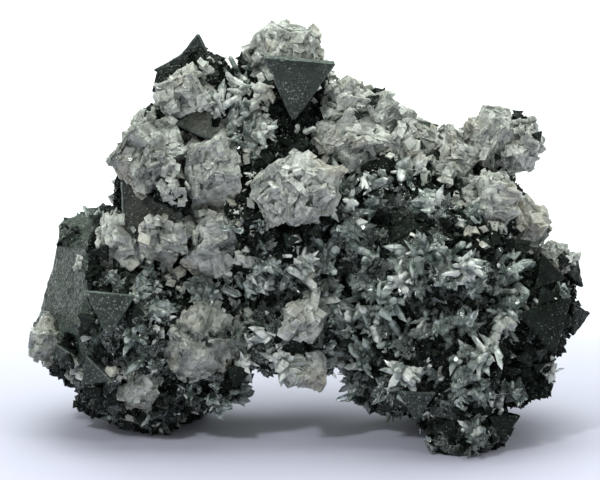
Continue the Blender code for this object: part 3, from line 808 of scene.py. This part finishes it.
def burrs(rng, places, normals, sizes, count):
    """Quartz burrs with `sizes` as radii: `count` stubby crystals that spread from each place."""
    roots = np.repeat(places - normals * (sizes * 0.2)[:, None], count, 0)
    roots = roots + rng.normal(size=roots.shape) * np.repeat(sizes, count)[:, None] * 0.26
    outward = spread(rng, np.repeat(normals, count, 0), 0.8)
    lengths = np.repeat(sizes, count) * (0.3 + 0.85 * rng.uniform(size=len(roots)) ** 1.5)
    radii = np.minimum(lengths * rng.uniform(0.22, 0.48, len(roots)), 0.75 * MM)
    return quartz_copies(rng, roots, outward, lengths, radii)


def quartz_piece(kind, parts):
    name = "quartz_" + kind
    piece = piece_from(name, mesh_from(name, parts), QUARTZ[kind])
    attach(piece, "root")


# Quartz strewn over the matrix: kind, how many burrs, smallest and largest radius (mm), crystals in each
STREWN = [
    ("white", 110, 1.2, 2.3, 13), ("white", 840, 0.4, 0.9, 7), ("milky", 200, 1.3, 2.5, 12),
    ("milky", 520, 0.5, 1.1, 7), ("clear", 220, 1.3, 2.6, 8), ("clear", 360, 1.2, 2.4, 1),
]


def strewn_quartz(surface, rng, found):
    """Burrs and single crystals of quartz, added to each kind's list. Clear ones only stand in the middle."""
    density = quartz_density(surface)
    inner = (surface.v > 170) & (surface.u > 200) & (surface.u < 560)
    for kind, count, smallest, largest, crystals in STREWN:
        places, normals = surface.pick(rng, count, density * (inner if kind == "clear" else 1))
        sizes = rng.uniform(smallest, largest, count) * np.where(normals[:, 2] < -0.2, 0.6, 1) * MM
        found[kind].append(burrs(rng, places, normals, sizes, crystals))


# Larger quartz crystals seen one by one: pixel, how many, length, radius (mm), leaning right, up
QUARTZ_SEEN = [
    (328, 250, 1, 4.4, 0.85, 0, 0.9), (353, 226, 4, 3.4, 0.45, 0.4, -0.5), (341, 238, 4, 3, 0.5, 0, -0.4),
    (278, 259, 1, 3, 0.38, 0.9, 0.1), (258, 264, 2, 2.8, 0.42, 0.6, 0.5), (257, 283, 4, 2.8, 0.36, 0.1, -0.6),
    (306, 275, 2, 5.2, 0.75, -0.7, 0.7), (326, 281, 2, 3.8, 0.6, 0.7, 0.6),
    (333, 291, 2, 3.4, 0.42, 0.9, -0.2), (334, 303, 2, 3.2, 0.35, 0.3, -0.8), (316, 290, 8, 2.4, 0.4, 0, 0),
    (358, 296, 3, 3, 0.6, -0.4, 0.5), (366, 305, 4, 3, 0.6, 0.2, 0.3), (371, 322, 7, 2.6, 0.5, 0, -0.2),
    (388, 302, 5, 2.8, 0.48, 0.4, 0.4), (402, 273, 8, 3, 0.52, 0.1, -0.3), (418, 284, 3, 3.6, 0.6, 0.3, -0.8),
    (427, 252, 8, 3, 0.6, 0.3, 0.3), (397, 344, 4, 3.2, 0.5, -0.5, 0.8), (433, 328, 7, 3, 0.5, 0, 0.3),
    (365, 355, 5, 2.8, 0.45, 0, 0.5), (402, 372, 7, 2.8, 0.45, 0, 0), (240, 342, 6, 2.6, 0.45, 0, 0.3),
    (248, 322, 3, 3, 0.48, 0.8, 0.2), (242, 358, 6, 2.4, 0.42, 0, -0.3), (285, 362, 6, 2.6, 0.45, 0, -0.7),
    (337, 360, 6, 2.6, 0.45, 0.3, -0.4), (462, 263, 5, 3.4, 0.6, 0.3, -0.3),
    (499, 268, 4, 3.8, 0.6, 0.1, 0.7), (496, 292, 4, 4.2, 0.62, -0.1, -0.9),
    (522, 296, 5, 2.6, 0.45, 0.5, -0.3), (463, 325, 7, 2.8, 0.5, 0, 0.3), (504, 318, 5, 3.6, 0.55, 0.3, 0.8),
    (478, 352, 7, 2.8, 0.5, 0, 0), (460, 388, 6, 2.6, 0.48, 0.3, 0.2), (508, 394, 6, 2.4, 0.45, 0, 0.2),
    (476, 426, 6, 2.4, 0.42, 0, 0.2), (470, 441, 5, 2, 0.4, 0, 0), (240, 88, 2, 3.6, 0.85, -0.35, 0.8),
    (238, 94, 1, 3.2, 0.6, -1.2, 0.05), (230, 112, 3, 4.4, 0.5, 0, 0.9), (224, 116, 3, 4, 0.45, -0.2, 0.9),
    (214, 110, 2, 3.4, 0.55, -0.9, 0.3), (222, 104, 5, 2.6, 0.45, 0.2, 0.8), (246, 98, 4, 2.6, 0.6, 0.2, 0.3),
    (302, 132, 3, 2.4, 0.5, 0.2, 0.6), (232, 128, 8, 2.6, 0.42, 0, 0.3), (262, 128, 5, 2.4, 0.45, 0.4, 0),
    (423, 198, 6, 2.8, 0.48, 0.3, 0), (400, 185, 6, 2.6, 0.48, -0.2, 0.2), (378, 205, 7, 2.6, 0.48, 0, 0.3),
    (372, 180, 6, 2.8, 0.5, 0, 0.3), (462, 212, 4, 3, 0.6, 0.5, 0.2), (340, 205, 6, 2.6, 0.45, 0.3, 0.2),
    (148, 300, 4, 2.6, 0.48, 0.3, 0.4), (150, 330, 4, 2.4, 0.4, 0.5, 0.3),
]


def seen_quartz(tree, rng, found):
    """The larger crystals and burrs, each standing on whatever is seen at its pixel."""
    for i, (u, v, count, length, radius, right, up) in enumerate(QUARTZ_SEEN):
        point, normal = seen_from_front(tree, u, v)
        if point is None:
            continue
        lean = unit(np.array([[right, -0.75, up]]) + np.array(normal) * 0.35)
        kind = "white" if v < 150 or 280 < u < 345 else ("white", "clear", "milky")[i % 3]
        if count < 4:
            places = np.array(point) + rng.normal(size=(count, 3)) * 0.45 * MM
            outward = spread(rng, np.repeat(lean, count, 0), 0.18)
            lengths = length * rng.uniform(0.8, 1.05, count) * MM
            radii = radius * rng.uniform(0.75, 1.05, count) * MM
            found[kind].append(quartz_copies(rng, places - outward * 0.7 * MM, outward, lengths, radii))
            continue
        places = np.array(point) + rng.normal(size=(3, 3)) * length * 0.28 * MM
        sizes = length * rng.uniform(0.55, 0.9, 3) * MM
        found[kind].append(burrs(rng, places, np.repeat(lean, 3, 0), sizes, 2 * count))


# Smaller dark crystals seen one by one: pixel, edge (mm), facing right and up, roll (degrees)
DARK_SEEN = [
    (163, 84, 4.4, -40, 10, 20), (173, 74, 3.6, -10, 20, 70), (229, 80, 4, 10, 5, 100),
    (240, 101, 3.2, 0, 0, 30), (243, 58, 2.2, 0, 30, 10), (253, 55, 1.8, 10, 30, 50),
    (244, 134, 2.8, 0, 0, 45), (97, 392, 4, -20, -20, 80), (112, 400, 3.2, 0, -30, 20),
    (436, 195, 4, 10, 10, 30), (424, 186, 3, 20, 20, 75), (452, 186, 3.2, 0, 20, 100),
    (490, 318, 3.8, 10, 0, 70), (478, 330, 3.2, -10, 0, 10), (508, 372, 4.2, 20, -10, 40),
    (524, 356, 4, 30, 0, 90), (500, 350, 3.4, 0, -10, 20), (538, 352, 3.2, 40, -10, 60),
    (448, 426, 4.2, -10, -20, 90), (441, 420, 3, -30, -10, 40), (460, 448, 3.4, 0, -20, 15),
    (493, 158, 2.4, 0, 20, 30), (119, 146, 4, -60, 0, 0), (536, 137, 2.6, 50, 10, 60),
    (563, 262, 3.2, 40, 10, 20), (553, 292, 3, 40, 0, 100), (505, 246, 3.6, 10, 0, 80),
    (518, 250, 3.4, 20, 20, 30), (492, 240, 3, 0, 10, 0), (443, 222, 3, 0, 0, 60), (345, 340, 3, 0, 0, 20),
    (330, 332, 2.8, 0, -10, 80), (430, 288, 3, 10, 10, 40), (408, 318, 2.8, 0, 0, 100),
    (393, 300, 2.4, 0, 10, 70), (344, 296, 3, 0, 0, 10), (268, 160, 3, -10, 10, 50),
    (285, 140, 3.4, 0, 20, 90), (262, 148, 2.6, 0, 0, 20), (355, 118, 2.6, 0, 20, 30),
    (372, 102, 2.8, 0, 30, 70), (418, 146, 2.4, 0, 10, 0), (290, 240, 3, 0, 0, 40),
    (315, 232, 2.8, 0, 10, 100), (268, 238, 2.8, 0, 0, 70), (120, 266, 3, -10, 0, 30),
    (106, 252, 3.4, -20, 0, 90), (90, 320, 3.8, -30, -10, 50), (140, 312, 3, 0, 0, 10),
    (70, 360, 3.2, -40, -10, 100), (190, 408, 3.2, 0, -30, 30), (150, 420, 3.6, -10, -30, 70),
    (172, 412, 3, 0, -20, 10), (206, 402, 2.8, 10, -30, 50), (458, 398, 3, 0, -10, 30),
    (436, 395, 2.6, -10, -10, 90), (372, 380, 2.8, -10, -20, 10), (385, 330, 2.6, 0, 0, 55),
    (446, 345, 3, 0, 0, 15), (456, 262, 2.6, 0, 0, 80),
]


def cut_tetrahedron():
    """A tetrahedron with edges 1 long, one face towards +Z, and narrow flats along its edges."""
    bm = bmesh.new()
    height = math.sqrt(2 / 3)
    turned = Matrix.Translation((0, 0, -height / 4)) @ Matrix.Rotation(math.pi, 4, "Y")
    bmesh.ops.create_cone(
        bm, cap_ends=True, segments=3, radius1=1 / math.sqrt(3), radius2=0, depth=height, matrix=turned
    )
    bmesh.ops.bevel(bm, geom=list(bm.edges) + list(bm.verts), offset=0.07, segments=1, affect="EDGES")
    shape = np.array([v.co[:] for v in bm.verts]), [tuple(v.index for v in face.verts) for face in bm.faces]
    bm.free()
    return shape


def seen_dark(tree):
    """The smaller dark crystals, each standing on whatever is seen at its pixel."""
    places, turns, sizes = [], [], []
    for u, v, edge, right, up, roll in DARK_SEEN:
        point, _ = seen_from_front(tree, u, v)
        if point is None:
            continue
        right, up = math.radians(right), math.radians(up)
        facing = Vector((math.sin(right) * math.cos(up), -math.cos(right) * math.cos(up), math.sin(up)))
        places.append(point - facing * edge * 0.08 * MM)
        turn = facing.to_track_quat("Z", "Y").to_matrix() @ Matrix.Rotation(math.radians(roll), 3, "Z")
        turns.append(turn)
        sizes.append([edge * MM] * 3)
    return copies(cut_tetrahedron(), *map(np.array, (places, turns, sizes)))


GRAINS = [(2600, 0.5, 1.1), (5200, 0.25, 0.6)]  # how many, smallest and largest radius (mm)


def grains(surface, rng, seen):
    """The small dark crystals of the druse, thickest at the right."""
    right = 0.35 + np.clip((surface.u - 380) / 120, 0, 1)
    density = right * surface.clear * surface.above(2) * (1 - 0.97 * surface.broken)
    density = density * np.clip((clumps(surface.centres, 3.0, 9.0) - 0.35) * 4, 0.1, 1)
    parts = [seen]
    for count, smallest, largest in GRAINS:
        places, normals = surface.pick(rng, count, density)
        radii = rng.uniform(smallest, largest, count) * MM
        turns = rotations(rng, unit(rng.normal(size=(count, 3))))
        sizes = np.repeat(radii[:, None], 3, 1) * rng.uniform(0.8, 1.1, (count, 3))
        parts.append(copies(tetrahedron_shape(), places + normals * (radii * 0.1)[:, None], turns, sizes))
    piece = piece_from("small_tennantite", mesh_from("small_tennantite", parts), DARKEST)
    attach(piece, "root")


# Patches of small carbonate rhombs: pixel, half width and height in pixels, how thick
CARBONATE_ZONES = [
    (150, 240, 45, 35, 1), (200, 330, 50, 45, 0.8), (150, 150, 60, 50, 1), (200, 200, 60, 50, 0.9),
    (370, 130, 60, 40, 1), (450, 150, 50, 30, 1), (490, 190, 40, 50, 1), (530, 225, 30, 30, 0.8),
    (60, 350, 35, 30, 0.15), (150, 400, 60, 30, 0.2), (150, 300, 50, 50, 0.2), (300, 370, 30, 20, 0.7),
    (300, 60, 50, 30, 0.9),
]

# Bunches of rhombs seen one by one: pixel, radius (mm), facing right and up
CARBONATE_SEEN = [
    (128, 240, 2.2, -0.3, 0.5), (140, 247, 2.6, 0, 0.3), (117, 232, 2, -0.5, 0.5), (150, 236, 2, 0.2, 0.5),
    (256, 128, 1.9, 0, 0.9), (300, 322, 2.2, 0, 0.2), (314, 316, 1.7, 0.5, 0.2), (288, 326, 1.7, -0.5, 0),
    (312, 296, 1.8, -0.3, 0.5), (324, 284, 1.8, 0.3, 0.5), (302, 274, 1.6, -0.5, 0.5),
    (500, 326, 1.7, 0.1, 0.5), (494, 338, 1.5, -0.1, 0.2), (478, 350, 1.6, 0, 0.3), (562, 250, 2.2, 0.6, 0.6),
    (574, 258, 1.4, 0.8, 0.2), (545, 366, 1.5, 0.7, -0.2), (330, 78, 1.8, 0.4, 0.7), (322, 62, 1.8, 0.6, 0.6),
    (412, 150, 2, 0.3, 0.5), (420, 132, 1.8, 0.4, 0.6), (404, 118, 1.8, 0, 0.8), (376, 98, 1.8, 0, 0.9),
    (335, 90, 1.6, 0.2, 0.9), (172, 170, 1.8, 0.3, 0.6), (158, 224, 1.6, 0, 0.5), (80, 372, 1.4, -0.4, -0.3),
    (82, 262, 1.2, 0.2, 0.3), (120, 372, 1.5, -0.2, 0), (300, 372, 2, 0, -0.3), (318, 380, 1.6, 0.4, -0.3),
    (319, 44, 2, 0.6, 0.8), (324, 50, 2, 0.7, 0.6), (316, 40, 2, 0.4, 0.9), (327, 55, 1.6, 0.8, 0.3),
    (257, 60, 1.8, -0.6, 0.5), (256, 98, 2.2, -0.1, 0.5), (263, 104, 1.6, 0.3, 0.2),
    (206, 70, 1.6, -0.1, 0.8), (248, 124, 1.6, -0.2, 0.8), (250, 152, 1.5, 0, 0.5),
    (170, 108, 1.8, -0.3, 0.7), (240, 262, 1.8, 0.3, 0.2), (225, 268, 1.8, 0, 0.1), (446, 175, 1.8, 0.2, 0.4),
    (518, 216, 2.2, 0.2, 0.4), (488, 224, 2, -0.2, 0.4), (538, 224, 1.8, 0.5, 0.4),
]
BUNCH = 11  # rhombs in a bunch
BEHIND_CROWN = 6  # mm; how far back a bunch stands that is just outside the outline


def seen_bunches(tree, rng):
    """The bunches of rhombs, each standing on whatever is seen at its pixel."""
    parts = []
    for u, v, radius, right, up in CARBONATE_SEEN:
        point, normal = seen_from_front(tree, u, v)
        if point is None:
            point, normal, _, _ = tree.find_nearest(from_front(u, v, BEHIND_CROWN))
        lean = unit(np.array([[right, -0.8, up]]) + np.array(normal) * 0.5)
        around = np.array(point) + rng.normal(size=(BUNCH, 3)) * radius * 0.5 * MM
        places = np.array([tree.find_nearest(place)[0] for place in around])
        places += lean * rng.uniform(-0.1, 0.35, (BUNCH, 1)) * radius * MM
        edge = radius * rng.uniform(0.35, 0.95, BUNCH) * MM
        sizes = rhomb_sizes(rng, edge, (0.7, 1.0), (0.35, 0.7))
        turns = rotations(rng, spread(rng, np.repeat(lean, BUNCH, 0), 0.35))
        parts.append(copies(rhomb_shape(), places, turns, sizes))
    return parts


# Long crossed blades in the middle: pixel, length and width (mm), degrees from upright to the right
CROSSED_BLADES = [
    (304, 276, 4.6, 1, -42), (309, 283, 5.4, 1.2, -36), (330, 280, 4.4, 1, 40), (322, 292, 5, 1.2, 48),
    (318, 296, 3.8, 1, -15), (326, 300, 3.4, 0.9, 80), (312, 304, 4, 1, 20), (338, 290, 3, 0.8, -60),
]


def crossed_blades(tree, rng):
    """Thin pale blades that cross each other, lying nearly flat in the front view."""
    parts = []
    for u, v, length, width, degrees in CROSSED_BLADES:
        point, _ = seen_from_front(tree, u, v)
        if point is None:
            continue
        lean = math.radians(degrees)
        along = np.array([[math.sin(lean), rng.uniform(-0.4, 0.1), math.cos(lean)]])
        facing = unit(np.array([[rng.uniform(-0.3, 0.3), -1.0, 0.3]]))
        turns = aligned(rng, facing, along, 0.05)
        sizes = np.array([[length, width, 0.5]]) * MM
        place = np.array(point) + facing * rng.uniform(0.3, 1.1) * MM
        parts.append(copies(rhomb_shape(), place, turns, sizes))
    return parts


SMALL_RHOMBS = 2200


def small_carbonates(surface, rng, bunches):
    """Small rhombs in patches, and a few all over the back."""
    back = np.where(surface.normals @ np.array(SIGHT) > 0.2, 0.06, 0.01)
    zones = np.maximum(back, in_zones(surface.u, surface.v, CARBONATE_ZONES, 1.5))
    patchy = np.clip((clumps(surface.centres, 3.2, 5.0) - 0.45) * 5, 0.02, 1)
    density = zones * patchy * surface.clear * (1 - surface.broken) * surface.above(3)
    places, normals = surface.pick(rng, SMALL_RHOMBS, density)
    edge = (0.35 + 1.2 * rng.uniform(size=SMALL_RHOMBS) ** 2) * MM
    sizes = rhomb_sizes(rng, edge, (0.6, 1), (0.35, 0.7))
    turns = rotations(rng, spread(rng, normals, 0.7))
    part = copies(rhomb_shape(), places + normals * (edge * 0.15)[:, None], turns, sizes)
    piece = piece_from("small_carbonate", mesh_from("small_carbonate", [part, *bunches]), CARBONATE)
    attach(piece, "root")


# Light, floor and camera

def floor_material():
    """Bluish grey in front, turning white behind the specimen: the darker front is painted shade, standing in
    for light that falls off towards the front of a white sweep.
    """
    nodes = Nodes("floor")
    far = nodes.steps(nodes.node("SeparateXYZ", {0: nodes.coordinates}).outputs["Y"], 0.0, 0.16)
    return nodes.finish({
        "Base Color": nodes.mix(far, (0.52, 0.51, 0.625, 1), (1, 1, 1, 1)),
        "Roughness": 0.6,
        "Specular IOR Level": 0.25,
    })


FLOOR_SIZE = 3.0  # m


def make_stage():
    bm = bmesh.new()
    bmesh.ops.create_grid(bm, x_segments=1, y_segments=1, size=FLOOR_SIZE / 2)
    floor = piece_from("floor", mesh_of(bm, "floor"), floor_material())


AIM = Vector((0, 0, 0.03))  # where the lights point, in metres


def area_light(name, place, size, power, colour=(1, 1, 1)):
    data = bpy.data.lights.new(name, "AREA")
    data.size = size
    data.energy = power
    data.color = colour
    light = add_object(name, data)
    light.location = place
    light.rotation_euler = (AIM - Vector(place)).to_track_quat("-Z", "Y").to_euler()


def make_lights():
    area_light("overhead", (0.0, 0.12, 0.6), 0.58, 4.9, (0.94, 1, 0.96))
    area_light("front left", (-0.28, -0.4, 0.5), 0.06, 1.7, (0.96, 1, 0.98))
    area_light("front right", (0.34, -0.3, 0.45), 0.1, 0.5)
    world = bpy.data.worlds.new("studio")
    world.use_nodes = True
    background = world.node_tree.nodes["Background"]
    background.inputs["Color"].default_value = (0.91, 1, 0.93, 1)
    background.inputs["Strength"].default_value = 0.58
    bpy.context.scene.world = world


CAMERA_LENS = 320  # mm
CAMERA_AWAY = 0.8  # m


def make_camera():
    data = bpy.data.cameras.new("camera")
    data.lens = CAMERA_LENS
    data.clip_start = 0.01
    camera = add_object("camera", data)
    camera.location = from_front(300, 240, MIDDLE[1]) - SIGHT * CAMERA_AWAY
    camera.rotation_euler = SIGHT.to_track_quat("-Z", "Y").to_euler()
    bpy.context.scene.camera = camera
    bpy.context.scene.view_settings.view_transform = "Standard"


def main():
    rng = np.random.default_rng(SEED)
    make_camera()
    make_lights()
    make_stage()
    matrix = matrix_piece(rng)
    crystals = [tennantite_piece(name, rng) for name in sorted(NODES) if name.startswith("tennantite")]
    crystals += [carbonate_piece(name, rng) for name in sorted(NODES) if name.startswith("carbonate")]
    for name in NODES:
        if name.startswith("quartz"):
            NODES[name].data.materials.clear()
            NODES[name].data.materials.append(QUARTZ["milky"])
    surface = Surface(matrix.data)
    surface.cover(tree_of(crystals))
    standing = tree_of([matrix, *crystals])
    grains(surface, rng, seen_dark(standing))
    small_carbonates(surface, rng, seen_bunches(standing, rng) + crossed_blades(standing, rng))
    found = {"white": [], "milky": [], "clear": []}
    strewn_quartz(surface, rng, found)
    seen_quartz(standing, rng, found)
    for kind, parts in found.items():
        quartz_piece(kind, parts)


main()
